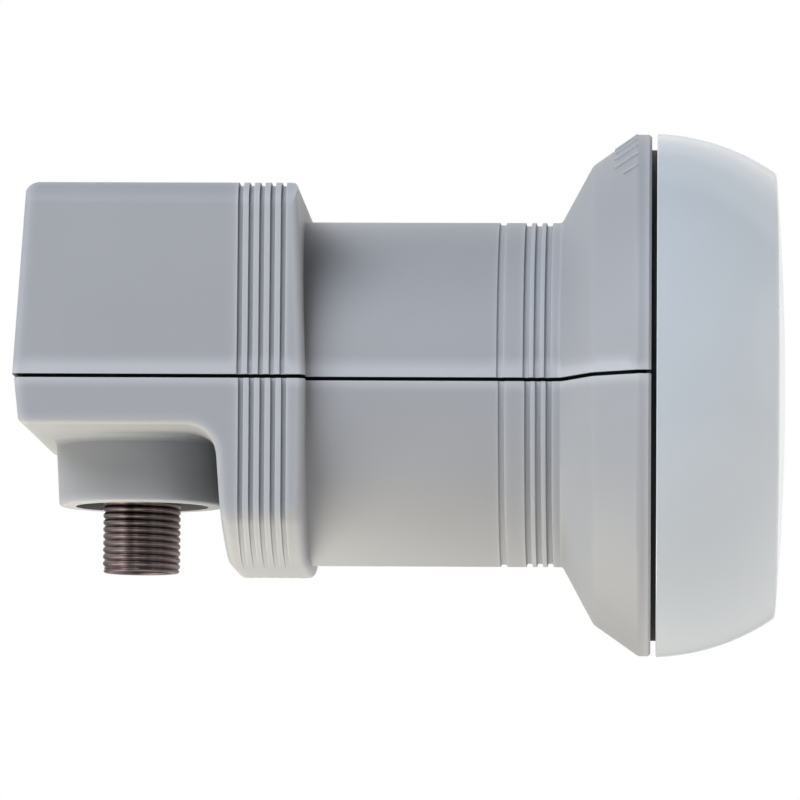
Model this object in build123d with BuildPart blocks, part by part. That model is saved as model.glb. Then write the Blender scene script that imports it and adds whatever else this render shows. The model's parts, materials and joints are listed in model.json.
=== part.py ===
"""Satellite LNB: a two-part plastic housing, a glossy feed cap and the converter that they hold.

Frame: +X runs along the feed axis and out through the cap, +Z is up, and the socket points down.
The origin is on the feed axis, in the middle of the plain clamp seat. All sizes are in millimetres.
"""
import os
from math import radians, tan

from build123d import *

os.makedirs("parts", exist_ok=True)

# Housing walls and fits
wall = 2.0
parting_gap = 0.4
fit_gap = 0.15
half_shift = 0.2
over = 5.0

# Neck with its clamp seat, and the grooved trim in front of the seat
neck_radius = 20.0
seat_length = 21.6
trim_length = 7.2
seat_groove_width = 0.8
seat_groove_depth = 0.28
trim_groove_count = 3
trim_groove_start = 3.0
trim_groove_pitch = 1.21
trim_groove_width = 0.75
trim_groove_depth = 0.38
groove_lean = 0.12

# Flare from the neck to the rim that carries the cap
flare_knee_radius = 26.65
flare_steep_length = 3.6
flare_slow_length = 5.2
rim_radius = 30.3
rim_width = 1.6
rim_bevel = 0.3
flare_root_round = 0.5
flare_knee_round = 1.5
rim_back_round = 0.9

# Skew scale: raised marks on the upper half of the flare
mark_angle = 5.8
mark_pairs = 6
mark_width = 0.4
mark_height = 0.2
long_mark = 2.7
short_mark = 1.7

# Feed cap and its seal
cap_gap = 0.6
cap_overhang = 0.1
cap_side_length = 13.8
cap_side_bulge = 1.1
cap_side_inset = 4.6
cap_dome = 1.1
cap_edge_round = 0.8
cap_wall = 1.6
cap_skirt_wall = 1.2
seal_width = 0.35

# Box of the upper half
box_length = 33.3
box_width = 46.0
box_height = 22.4
box_side_draft = 0.7
box_end_draft = 3.6
box_front_draft = 2.7
box_side_round = 3.0
box_end_round = 1.9
box_corner_round = 0.8
skin_margin = 0.02

# Tray and leg of the lower half
tray_depth = 5.45
tray_end_draft = 6.3
leg_depth = 20.85
leg_length = 10.3
leg_bend = 3.7
leg_back_draft = 4.4
leg_front_draft = 0.4
leg_side_draft = 1.5
leg_shoulder_depth = 15.8
leg_shoulder_round = 3.5
leg_floor_inset = 8.4
leg_floor_round = 20.0
lower_edge_round = 0.9
band_edge_round = 0.9

# Grooves round the band at the front of the box
band_groove_count = 5
band_groove_start = 2.3
band_groove_pitch = 1.22
band_groove_width = 0.56
band_groove_depth = 0.4

# Tongue on the lower half that closes the parting line
tongue_height = 1.4
tongue_thickness = 0.8

# Cup round the socket
socket_inset = 13.35
cup_radius = 10.05
cup_depth = 13.25
cup_draft = 3.2
cup_wall = 1.9
cup_root_round = 0.9
cup_rim_round = 0.4

# F type socket
socket_radius = 4.7
socket_reach = 20.95
socket_chamfer = 0.5
socket_bore_radius = 3.3
socket_flange_radius = 6.0
socket_flange_depth = 1.4
socket_root_depth = 8.4
socket_mouth_recess = 0.6
socket_seal_gap = 0.05
contact_radius = 0.5
contact_recess = 1.4
contact_hole_radius = 1.5

# Casting: waveguide tube, ringed horn and board seat
guide_radius = 8.75
tube_wall = 1.6
guide_mouth_radius = 10.0
guide_taper_length = 8.0
casting_wall = 1.5
casting_gap = 0.3
horn_depth = 4.2
horn_ring_count = 3
horn_ring_start = 2.4
horn_ring_pitch = 3.6
horn_ring_wall = 1.2
horn_ring_setback = 0.8
neck_disc_width = 1.8
neck_disc_span = 10.0
neck_disc_setback = 4.0
bulkhead_width = 3.4
board_seat = 11.0
floor_thickness = 2.0
saddle_depth = 4.0
socket_boss_radius = 6.9
screw_post_radius = 2.6
screw_post_depth = 3.0

# Board and lid
board_thickness = 0.8
board_gap = 0.5
board_corner_round = 1.0
board_neck_length = 16.0
board_neck_width = 26.0
lid_wall = 1.4
lid_clearance = 0.4
lid_web_width = 1.2
lid_web_rise = 1.8
lid_web_gap = 0.6
absorber_thickness = 1.5
absorber_gap = 0.5
absorber_clearance = 0.9

# Lid screws and tuning screws
screw_radius = 1.1
screw_hole_radius = 1.3
screw_head_radius = 2.2
screw_head_height = 1.4
screw_tip_gap = 0.8
screw_inset = 3.0
tuner_radius = 2.0
tuner_gap = 0.8
tuner_rise = 0.6

# Probes in the waveguide
probe_radius = 0.6
probe_reach = 5.5
probe_tail = 0.3
sleeve_radius = 1.2
top_probe_setback = 3.3
side_probe_lead = 4.7
side_probe_offset = 10.15
probe_lug_wall = 1.0
isolation_pin_radius = 0.7

# Parts on the board
resonator_radius = 2.9
resonator_height = 2.2
resonator_spread = 8.0
resonator_setback = 7.5
transistor_side = 2.0
transistor_height = 0.9
transistor_offset = 4.0
transistor_setback = 3.0
chip_length = 6.0
chip_width = 5.0
chip_height = 1.6
chip_offset = 9.5
regulator_length = 6.5
regulator_width = 6.0
regulator_share = 0.77
regulator_offset = 8.8
choke_radius = 2.0
choke_offset = 6.0
capacitor_length = 2.0
capacitor_width = 1.25
capacitor_height = 0.9
capacitor_count = 5
capacitor_pitch = 2.2
capacitor_offset = 4.0

# Stations along the feed axis
band_front = -seat_length / 2
box_back = band_front - box_length
neck_front = seat_length / 2 + trim_length
flare_knee = neck_front + flare_steep_length
rim_back = flare_knee + flare_slow_length
rim_front = rim_back + rim_width
cap_back = rim_front + cap_gap
cap_edge = cap_back + cap_side_length
cap_radius = rim_radius + cap_overhang
cap_face_radius = cap_radius - cap_side_inset
leg_back = band_front - leg_length
socket_x = box_back + socket_inset

# Slopes of the two cones of the flare
steep_slope = (flare_knee_radius - neck_radius) / flare_steep_length
slow_slope = (rim_radius - flare_knee_radius) / flare_slow_length

# Heights of the board stack
board_top = board_seat + board_thickness
floor_bottom = board_seat - floor_thickness
lid_top = box_height - wall - screw_head_height - lid_clearance
lid_ceiling = lid_top - lid_wall
choke_height = lid_ceiling - board_top - absorber_thickness - absorber_clearance
regulator_height = regulator_share * choke_height
screw_tip = floor_bottom - screw_post_depth + screw_tip_gap
socket_top = floor_bottom - fit_gap

# Plan of the board stack
board_back = box_back + wall + board_gap + lid_top * tan(radians(box_end_draft))
board_front = band_front - wall - board_gap - lid_top * tan(radians(box_front_draft))
board_half = box_width / 2 - wall - board_gap - lid_top * tan(radians(box_side_draft))
board_neck_front = board_front + board_neck_length
board_length = board_front - board_back
board_middle = (board_back + board_front) / 2
screw_places = [
    (x, side * (board_half - screw_inset))
    for x in (board_back + screw_inset, board_middle, board_front - screw_inset)
    for side in (-1, 1)
]
resonator_x = board_front - resonator_setback
resonator_places = [(resonator_x, -resonator_spread), (resonator_x, resonator_spread)]

# Waveguide, horn and probes
rim_bore_radius = rim_radius - wall
skirt_radius = rim_bore_radius - fit_gap
tube_radius = guide_radius + tube_wall
tube_back = leg_back + wall + 2 * casting_gap
guide_back = tube_back + tube_wall
bulkhead_front = band_front - wall - casting_gap - leg_depth * tan(radians(leg_front_draft))
side_probe_x = board_front + side_probe_lead
top_probe_x = board_neck_front - top_probe_setback
isolation_pin_x = (side_probe_x + top_probe_x) / 2


def inset_corner(station, radius, slope_before, slope_after, depth):
    """Where a corner of the waist's outline goes when both of its lines move inwards by depth."""
    line_before = depth * (1 + slope_before**2) ** 0.5
    line_after = depth * (1 + slope_after**2) ** 0.5
    along = (line_after - line_before) / (slope_after - slope_before)
    return station + along, radius + slope_before * along - line_before


def groove_points(start, width, depth):
    """Outline of one groove of the neck, from its back edge to its front edge."""
    floor_radius = neck_radius - depth
    return [
        (start, neck_radius),
        (start + groove_lean, floor_radius),
        (start + width - groove_lean, floor_radius),
        (start + width, neck_radius),
    ]


def waist_form(shift):
    """Solid of revolution under the neck and the flare, with the grooves of the neck."""
    groove_start = seat_length / 2 + shift
    outline = [(band_front - wall, 0), (band_front - wall, neck_radius)]
    outline += groove_points(groove_start, seat_groove_width, seat_groove_depth)
    for index in range(trim_groove_count):
        start = groove_start + trim_groove_start + index * trim_groove_pitch
        outline += groove_points(start, trim_groove_width, trim_groove_depth)
    outline += [
        (neck_front + shift, neck_radius),
        (flare_knee + shift, flare_knee_radius),
        (rim_back + shift, rim_radius),
        (rim_front - rim_bevel, rim_radius),
        (rim_front, rim_radius - rim_bevel),
        (rim_front, 0),
    ]
    corner_rounds = (
        ((neck_front + shift, neck_radius), flare_root_round),
        ((flare_knee + shift, flare_knee_radius), flare_knee_round),
        ((rim_back + shift, rim_radius), rim_back_round),
    )
    with BuildPart() as form:
        with BuildSketch(Plane.XY) as profile:
            with BuildLine():
                Polyline(*outline, close=True)
            make_face()
            for corner, corner_round in corner_rounds:
                fillet(profile.vertices().sort_by_distance(corner)[0], corner_round)
        revolve(axis=Axis.X)
    return form.part


def waist_core(shift, depth, back, front):
    """Solid of revolution that lies inside the waist's outline by depth, between two stations."""
    neck_corner = inset_corner(neck_front + shift, neck_radius, 0, steep_slope, depth)
    knee_corner = inset_corner(flare_knee + shift, flare_knee_radius, steep_slope, slow_slope, depth)
    rim_corner = inset_corner(rim_back + shift, rim_radius, slow_slope, 0, depth)
    outline = [(back, 0), (back, neck_radius - depth), neck_corner, knee_corner, rim_corner]
    outline += [(front, rim_radius - depth), (front, 0)]
    with BuildPart() as core:
        with BuildSketch(Plane.XY):
            with BuildLine():
                Polyline(*outline, close=True)
            make_face()
        revolve(axis=Axis.X)
    return core.part


def upper_section(inset, margin):
    """Section across the upper half of the box: drafted sides and rounded top edges."""
    top = box_height - inset
    foot_half = box_width / 2 - inset + margin
    top_half = foot_half - box_height * tan(radians(box_side_draft))
    with BuildSketch() as section:
        with BuildLine():
            Polyline((-foot_half, 0), (foot_half, 0), (top_half, top), (-top_half, top), close=True)
        make_face()
        fillet(section.vertices().group_by(Axis.Y)[-1], max(box_side_round - inset, fit_gap))
    return section.sketch_local


def upper_profile(inset, margin, end_round, front_round):
    """Side outline of the upper half of the box: both ends lean inwards."""
    top = box_height - inset + margin
    back = box_back + inset - margin
    front = band_front - inset + margin
    with BuildSketch() as profile:
        with BuildLine():
            Polyline(
                (back, 0),
                (front, 0),
                (front - top * tan(radians(box_front_draft)), top),
                (back + top * tan(radians(box_end_draft)), top),
                close=True,
            )
        make_face()
        fillet(profile.vertices().sort_by_distance((back, top))[0], end_round)
        fillet(profile.vertices().sort_by_distance((front, top))[0], front_round)
    return profile.sketch_local


def lower_section(inset, pinch):
    """Section across the leg: drafted sides moved in by pinch, round shoulders and a floor."""
    lean = tan(radians(leg_side_draft))
    shoulder_half = box_width / 2 - leg_shoulder_depth * lean - pinch
    top_half = box_width / 2 + over * lean - pinch
    floor_half = box_width / 2 - leg_floor_inset - pinch
    with BuildSketch() as section:
        with BuildLine():
            Polyline(
                (-top_half, over),
                (-shoulder_half, -leg_shoulder_depth),
                (-floor_half, -leg_depth),
                (floor_half, -leg_depth),
                (shoulder_half, -leg_shoulder_depth),
                (top_half, over),
                close=True,
            )
        make_face()
        fillet(section.vertices().group_by(Axis.Y)[1], leg_shoulder_round)
        fillet(section.vertices().group_by(Axis.Y)[0], leg_floor_round)
        if inset:
            offset(amount=-inset, kind=Kind.INTERSECTION)
    return section.sketch_local


def lower_profile(inset):
    """Side outline of the lower half: a shallow tray that bends down into the leg."""
    foot = leg_depth + over
    tray_back = box_back + half_shift
    end_lean = tan(radians(tray_end_draft))
    front_lean = tan(radians(leg_front_draft))
    with BuildSketch() as profile:
        with BuildLine():
            Polyline(
                (tray_back - over * end_lean, over),
                (tray_back + tray_depth * end_lean, -tray_depth),
                (leg_back, -tray_depth),
                (leg_back + (foot - tray_depth) * tan(radians(leg_back_draft)), -foot),
                (band_front - foot * front_lean, -foot),
                (band_front + over * front_lean, over),
                close=True,
            )
        make_face()
        fillet(profile.vertices().sort_by_distance((leg_back, -tray_depth))[0], leg_bend)
        if inset:
            offset(amount=-inset, kind=Kind.INTERSECTION)
    return profile.sketch_local


def parting_plan(inset):
    """Outline of the housing in its parting plane, moved inwards, open towards the cap."""
    half = [
        (box_back, box_width / 2),
        (band_front, box_width / 2),
        (band_front, neck_radius),
        (neck_front + half_shift, neck_radius),
        (flare_knee + half_shift, flare_knee_radius),
        (rim_back + half_shift, rim_radius),
        (rim_front + over, rim_radius),
    ]
    other_half = [(x, -y) for x, y in reversed(half)]
    with BuildSketch() as plan:
        with BuildLine():
            Polyline(*half, *other_half, close=True)
        make_face()
        offset(amount=-inset, kind=Kind.INTERSECTION)
        with Locations((rim_front - rim_width, 0)):
            Rectangle(3 * over, 3 * rim_radius, align=(Align.MIN, Align.CENTER), mode=Mode.SUBTRACT)
    return plan.sketch_local


skirt_back = inset_corner(rim_back + half_shift, rim_radius, slow_slope, 0, wall)[0] + fit_gap
band_grooves = [
    band_front - band_groove_start - band_groove_width - index * band_groove_pitch
    for index in range(band_groove_count)
]

# Cavity of the upper half, inside the box
with BuildPart() as upper_cavity:
    with BuildSketch(Plane.YZ.offset(box_back - over)):
        add(upper_section(wall, 0))
    extrude(amount=box_length + 2 * over)
    with BuildSketch(Plane.XZ):
        add(upper_profile(wall, 0, fit_gap, fit_gap))
    extrude(amount=box_width, both=True, mode=Mode.INTERSECT)

# Upper half of the housing: drafted box, neck and flare
with BuildPart() as upper_shell:
    loft_top = box_height + over
    with BuildSketch(Plane.XY):
        with Locations(((box_back + band_front) / 2, 0)):
            RectangleRounded(box_length, box_width, box_corner_round)
    end_lean = loft_top * tan(radians(box_end_draft))
    front_lean = loft_top * tan(radians(box_front_draft))
    side_lean = loft_top * tan(radians(box_side_draft))
    with BuildSketch(Plane.XY.offset(loft_top)):
        with Locations(((box_back + end_lean + band_front - front_lean) / 2, 0)):
            RectangleRounded(box_length - end_lean - front_lean, box_width - 2 * side_lean, box_corner_round)
    loft(ruled=True)
    with BuildSketch(Plane.YZ.offset(box_back - over)):
        add(upper_section(0, skin_margin))
    extrude(amount=box_length + 2 * over, mode=Mode.INTERSECT)
    with BuildSketch(Plane.XZ):
        add(upper_profile(0, skin_margin, box_end_round, band_edge_round))
    extrude(amount=box_width, both=True, mode=Mode.INTERSECT)
    with BuildSketch(*[Plane.YZ.offset(start) for start in band_grooves]):
        Rectangle(2 * box_width, 3 * box_height)
        add(upper_section(band_groove_depth, 0), mode=Mode.SUBTRACT)
    extrude(amount=band_groove_width, mode=Mode.SUBTRACT)
    add(waist_form(0))
    long_steps = range(1 - mark_pairs, mark_pairs)
    short_steps = (-mark_pairs, mark_pairs)
    for length, steps in ((long_mark, long_steps), (short_mark, short_steps)):
        with BuildSketch(*[Plane.XZ.rotated((mark_angle * step, 0, 0)) for step in steps]):
            with BuildLine():
                Polyline(
                    (rim_back - length, rim_radius - slow_slope * length - wall / 2),
                    (rim_back, rim_radius - wall / 2),
                    (rim_back, rim_radius),
                    (rim_back - mark_height, rim_radius + mark_height * (1 - slow_slope)),
                    (rim_back - length, rim_radius - slow_slope * length + mark_height),
                    close=True,
                )
            make_face()
        extrude(amount=mark_width / 2, both=True)
    split(bisect_by=Plane.XY.offset(parting_gap / 2), keep=Keep.TOP)
    add(upper_cavity.part, mode=Mode.SUBTRACT)
    add(waist_core(0, wall, band_front - 2 * wall, rim_front + over), mode=Mode.SUBTRACT)
    with BuildSketch(Plane.XY):
        add(parting_plan(wall - tongue_thickness - fit_gap))
    extrude(amount=parting_gap / 2 + tongue_height + fit_gap, mode=Mode.SUBTRACT)
upper_shell.part.label = "upper_shell"
export_step(upper_shell.part, "parts/upper_shell.step")

# Cavity of the lower half, inside the tray and the leg
with BuildPart() as lower_cavity:
    with BuildSketch(Plane.XZ):
        add(lower_profile(wall))
    extrude(amount=box_width, both=True)
    with BuildSketch(Plane.YZ.offset(box_back - over)):
        add(lower_section(wall, 0))
    extrude(amount=box_length + 2 * over, mode=Mode.INTERSECT)

# Lower half of the housing: tray, leg, cup, neck and flare
with BuildPart() as lower_shell:
    with BuildSketch(Plane.XZ):
        add(lower_profile(0))
    extrude(amount=box_width, both=True)
    with BuildSketch(Plane.YZ.offset(box_back - over)):
        add(lower_section(0, 0))
    extrude(amount=box_length + 2 * over, mode=Mode.INTERSECT)
    end_face = lower_shell.faces().sort_by(Axis.X)[0]
    fillet(end_face.edges().filter_by(Axis.Y, reverse=True), box_corner_round)
    front_face = lower_shell.faces().sort_by(Axis.X)[-1]
    fillet(front_face.edges().sort_by(Axis.Z)[:-1], band_edge_round)
    under_points = (
        (socket_x, 0, -tray_depth),
        (leg_back, 0, -tray_depth),
        (leg_back, 0, -(tray_depth + leg_depth) / 2),
    )
    under_faces = ShapeList(lower_shell.faces().sort_by_distance(point)[0] for point in under_points)
    side_edges = under_faces.edges().filter_by(Axis.Y, reverse=True)
    cross_edges = under_faces.edges().filter_by(Axis.Y).sort_by(Axis.X)
    fillet(side_edges + [cross_edges[0], cross_edges[-1]], lower_edge_round)
    with BuildSketch(*[Plane.YZ.offset(start + half_shift) for start in band_grooves]):
        Rectangle(2 * box_width, 3 * leg_depth)
        add(lower_section(0, band_groove_depth), mode=Mode.SUBTRACT)
    extrude(amount=band_groove_width, mode=Mode.SUBTRACT)
    add(waist_form(half_shift))
    cup_mouth_radius = cup_radius - (cup_depth - tray_depth) * tan(radians(cup_draft))
    cup_rim_corner = (socket_x + cup_mouth_radius, -cup_depth)
    cup_root_corner = (socket_x + cup_radius, -tray_depth)
    cup_root_edge = socket_x + cup_radius + cup_root_round + fit_gap
    with BuildSketch(Plane.XZ) as cup_profile:
        with BuildLine():
            Polyline(
                (socket_x, -cup_depth),
                cup_rim_corner,
                cup_root_corner,
                (cup_root_edge, -tray_depth),
                (cup_root_edge, wall / 2 - tray_depth),
                (socket_x, wall / 2 - tray_depth),
                close=True,
            )
        make_face()
        fillet(cup_profile.vertices().sort_by_distance(cup_rim_corner)[0], cup_rim_round)
        fillet(cup_profile.vertices().sort_by_distance(cup_root_corner)[0], cup_root_round)
    revolve(axis=Axis((socket_x, 0, 0), (0, 0, 1)))
    split(bisect_by=Plane.XY.offset(-parting_gap / 2), keep=Keep.BOTTOM)
    add(lower_cavity.part, mode=Mode.SUBTRACT)
    add(waist_core(half_shift, wall, band_front - 2 * wall, rim_front + over), mode=Mode.SUBTRACT)
    with BuildSketch(Plane.XY):
        with Locations((socket_x, 0)):
            Circle(cup_mouth_radius - cup_wall)
    extrude(amount=-cup_depth, mode=Mode.SUBTRACT)
    with BuildSketch(Plane.XY.offset(-wall)):
        add(parting_plan(wall - tongue_thickness))
        add(parting_plan(wall), mode=Mode.SUBTRACT)
    extrude(amount=wall + parting_gap / 2 + tongue_height)
lower_shell.part.label = "lower_shell"
export_step(lower_shell.part, "parts/lower_shell.step")

# Feed cap: convex side, low domed face, and a skirt that plugs into the rim
with BuildPart() as feed_cap:
    side_middle = (cap_back + cap_side_length / 2, (cap_radius + cap_face_radius) / 2 + cap_side_bulge)
    for depth, mode in ((0, Mode.ADD), (cap_wall, Mode.SUBTRACT)):
        with BuildSketch(Plane.XY) as cap_profile:
            with BuildLine():
                ThreePointArc((cap_back, cap_radius), side_middle, (cap_edge, cap_face_radius))
                ThreePointArc(
                    (cap_edge, cap_face_radius), (cap_edge + cap_dome, 0), (cap_edge, -cap_face_radius)
                )
                Line((cap_edge, -cap_face_radius), (cap_back, -cap_radius))
                Line((cap_back, -cap_radius), (cap_back, cap_radius))
            make_face()
            face_corners = cap_profile.vertices().group_by(Axis.X)[-1].sort_by(Axis.Y)
            fillet(face_corners[-1], cap_edge_round)
            if depth:
                offset(amount=-depth)
            with Locations((cap_back, 0)):
                upper_align = (Align.CENTER, Align.MIN)
                Rectangle(3 * cap_radius, 2 * cap_radius, align=upper_align, mode=Mode.INTERSECT)
        revolve(axis=Axis.X, mode=mode)
    with BuildSketch(Plane.YZ.offset(cap_back)):
        Circle(skirt_radius - cap_skirt_wall)
    extrude(amount=cap_wall, mode=Mode.SUBTRACT)
    with BuildSketch(Plane.YZ.offset(skirt_back)):
        Circle(skirt_radius)
        Circle(skirt_radius - cap_skirt_wall, mode=Mode.SUBTRACT)
    extrude(amount=cap_back - skirt_back)
feed_cap.part.label = "feed_cap"
export_step(feed_cap.part, "parts/feed_cap.step")

# Rubber ring between the rim and the cap
with BuildPart() as cap_seal:
    with BuildSketch(Plane.YZ.offset(rim_front)):
        Circle(skirt_radius + seal_width)
        Circle(skirt_radius, mode=Mode.SUBTRACT)
    extrude(amount=cap_gap)
cap_seal.part.label = "cap_seal"
export_step(cap_seal.part, "parts/cap_seal.step")

# Die-cast body: waveguide tube, ringed horn, board seat and socket boss
horn_front = skirt_back - casting_gap
horn_floor = horn_front - horn_depth
horn_back = horn_floor - casting_wall
disc_front = neck_front - neck_disc_setback
with BuildPart() as horn_cup:
    add(waist_core(half_shift, wall + casting_gap, 0, rim_front + over))
    with BuildSketch(Plane.YZ.offset(horn_back)):
        Circle(2 * rim_radius)
    extrude(amount=horn_front - horn_back, mode=Mode.INTERSECT)
with BuildPart() as horn_hollow:
    add(waist_core(half_shift, wall + casting_gap + casting_wall, 0, rim_front + over))
    with BuildSketch(Plane.YZ.offset(horn_floor)):
        Circle(2 * rim_radius)
    extrude(amount=horn_depth + over, mode=Mode.INTERSECT)
with BuildPart() as feed_casting:
    add(horn_cup.part)
    add(horn_hollow.part, mode=Mode.SUBTRACT)
    with BuildSketch(Plane.YZ.offset(horn_back)):
        for index in range(horn_ring_count):
            ring_radius = guide_mouth_radius + horn_ring_start + index * horn_ring_pitch
            Circle(ring_radius + horn_ring_wall)
            Circle(ring_radius, mode=Mode.SUBTRACT)
    extrude(amount=horn_front - horn_ring_setback - horn_back)
    with BuildSketch(Plane.XY):
        with BuildLine():
            Polyline(
                (tube_back, 0),
                (tube_back, tube_radius),
                (horn_floor - guide_taper_length, tube_radius),
                (horn_floor, guide_mouth_radius + casting_wall),
                (horn_floor, 0),
                close=True,
            )
        make_face()
    revolve(axis=Axis.X)
    disc_stations = (disc_front - neck_disc_span, disc_front)
    with BuildSketch(*[Plane.YZ.offset(station - neck_disc_width) for station in disc_stations]):
        Circle(neck_radius - wall - fit_gap)
    extrude(amount=neck_disc_width)
    with BuildSketch(Plane.YZ.offset(bulkhead_front - bulkhead_width)):
        add(lower_section(wall + casting_gap, 0))
        Rectangle(2 * board_half, floor_bottom, align=(Align.CENTER, Align.MIN))
    extrude(amount=bulkhead_width)
    lug_half = sleeve_radius + probe_lug_wall
    with BuildSketch(Plane.XY.offset(-lug_half)):
        with Locations((side_probe_x, 0)):
            Rectangle(2 * lug_half, side_probe_offset + lug_half, align=(Align.CENTER, Align.MAX))
    extrude(amount=board_seat + lug_half)
    with BuildSketch(Plane.XY.offset(floor_bottom)):
        with Locations((board_middle, 0)):
            RectangleRounded(board_length, 2 * board_half, board_corner_round)
    extrude(amount=floor_thickness)
    with BuildSketch(Plane.XY.offset(board_seat)):
        with Locations((board_front, 0)):
            Rectangle(2 * board_neck_length, board_neck_width)
    extrude(amount=-floor_thickness - saddle_depth)
    with BuildSketch(Plane.XY.offset(floor_bottom)):
        with Locations(*screw_places):
            Circle(screw_post_radius)
    extrude(amount=-screw_post_depth)
    with BuildSketch(Plane.XY.offset(-socket_root_depth)):
        with Locations((socket_x, 0)):
            Circle(socket_boss_radius)
    extrude(amount=socket_root_depth + floor_bottom)
    with BuildSketch(Plane.XY):
        with BuildLine():
            Polyline(
                (guide_back, 0),
                (guide_back, guide_radius),
                (horn_floor - guide_taper_length, guide_radius),
                (horn_floor, guide_mouth_radius),
                (horn_floor, 0),
                close=True,
            )
        make_face()
    revolve(axis=Axis.X, mode=Mode.SUBTRACT)
    with BuildSketch(Plane.XY.offset(-socket_root_depth)):
        with Locations((socket_x, 0)):
            Circle(socket_radius)
    extrude(amount=socket_root_depth + socket_top, mode=Mode.SUBTRACT)
    with BuildSketch(Plane.XY.offset(board_seat)):
        with Locations((socket_x, 0)):
            Circle(contact_hole_radius)
    extrude(amount=-2 * floor_thickness, mode=Mode.SUBTRACT)
    with BuildSketch(Plane.XY.offset(board_seat)):
        with Locations(*screw_places):
            Circle(screw_radius)
    extrude(amount=screw_tip - board_seat, mode=Mode.SUBTRACT)
    with BuildSketch(Plane.XY.offset(board_seat)):
        with Locations((top_probe_x, 0)):
            Circle(sleeve_radius)
    extrude(amount=-board_seat, mode=Mode.SUBTRACT)
    with BuildSketch(Plane.XY.offset(board_seat)):
        with Locations((side_probe_x, -side_probe_offset)):
            Circle(sleeve_radius)
    extrude(amount=-board_seat - sleeve_radius, mode=Mode.SUBTRACT)
    with BuildSketch(Plane.XZ):
        with Locations((side_probe_x, 0)):
            Circle(sleeve_radius)
    extrude(amount=side_probe_offset, mode=Mode.SUBTRACT)
    with BuildSketch(Plane.XZ):
        with Locations((isolation_pin_x, 0)):
            Circle(isolation_pin_radius)
    extrude(amount=tube_radius, both=True, mode=Mode.SUBTRACT)
feed_casting.part.label = "feed_casting"
export_step(feed_casting.part, "parts/feed_casting.step")

# Probes, their sleeves and the pin that keeps the two polarisations apart
with BuildPart() as vertical_probe:
    with BuildSketch(Plane.XY.offset(guide_radius - probe_reach)):
        with Locations((top_probe_x, 0)):
            Circle(probe_radius)
    extrude(amount=board_top + probe_tail - guide_radius + probe_reach)
vertical_probe.part.label = "vertical_probe"
export_step(vertical_probe.part, "parts/vertical_probe.step")

with BuildPart() as horizontal_probe:
    with BuildSketch(Plane.XY):
        with Locations((side_probe_x, -side_probe_offset)):
            Circle(probe_radius)
    extrude(amount=board_top + probe_tail)
    with BuildSketch(Plane.XZ.offset(guide_radius - probe_reach)):
        with Locations((side_probe_x, 0)):
            Circle(probe_radius)
    extrude(amount=side_probe_offset - guide_radius + probe_reach)
    with Locations((side_probe_x, -side_probe_offset, 0)):
        Sphere(probe_radius)
horizontal_probe.part.label = "horizontal_probe"
export_step(horizontal_probe.part, "parts/horizontal_probe.step")

with BuildPart() as probe_sleeves:
    with BuildSketch(Plane.XY.offset(guide_radius)):
        with Locations((top_probe_x, 0)):
            Circle(sleeve_radius)
    extrude(amount=board_seat - guide_radius)
    with BuildSketch(Plane.XY.offset(-sleeve_radius)):
        with Locations((side_probe_x, -side_probe_offset)):
            Circle(sleeve_radius)
    extrude(amount=board_seat + sleeve_radius)
    with BuildSketch(Plane.XZ.offset(guide_radius)):
        with Locations((side_probe_x, 0)):
            Circle(sleeve_radius)
    extrude(amount=side_probe_offset - guide_radius)
    add(vertical_probe.part, mode=Mode.SUBTRACT)
    add(horizontal_probe.part, mode=Mode.SUBTRACT)
probe_sleeves.part.label = "probe_sleeves"
export_step(probe_sleeves.part, "parts/probe_sleeves.step")

with BuildPart() as isolation_pin:
    with BuildSketch(Plane.XZ):
        with Locations((isolation_pin_x, 0)):
            Circle(isolation_pin_radius)
    extrude(amount=tube_radius, both=True)
isolation_pin.part.label = "isolation_pin"
export_step(isolation_pin.part, "parts/isolation_pin.step")

# Circuit board: a wide part over the box and a narrow part over the waveguide
with BuildPart() as circuit_board:
    with BuildSketch(Plane.XY.offset(board_seat)):
        with Locations((board_middle, 0)):
            RectangleRounded(board_length, 2 * board_half, board_corner_round)
        with Locations((board_front, 0)):
            Rectangle(2 * board_neck_length, board_neck_width)
        with Locations(*screw_places):
            Circle(screw_hole_radius, mode=Mode.SUBTRACT)
        with Locations((socket_x, 0)):
            Circle(contact_radius, mode=Mode.SUBTRACT)
        with Locations((top_probe_x, 0), (side_probe_x, -side_probe_offset)):
            Circle(probe_radius, mode=Mode.SUBTRACT)
    extrude(amount=board_thickness)
circuit_board.part.label = "circuit_board"
export_step(circuit_board.part, "parts/circuit_board.step")

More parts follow.
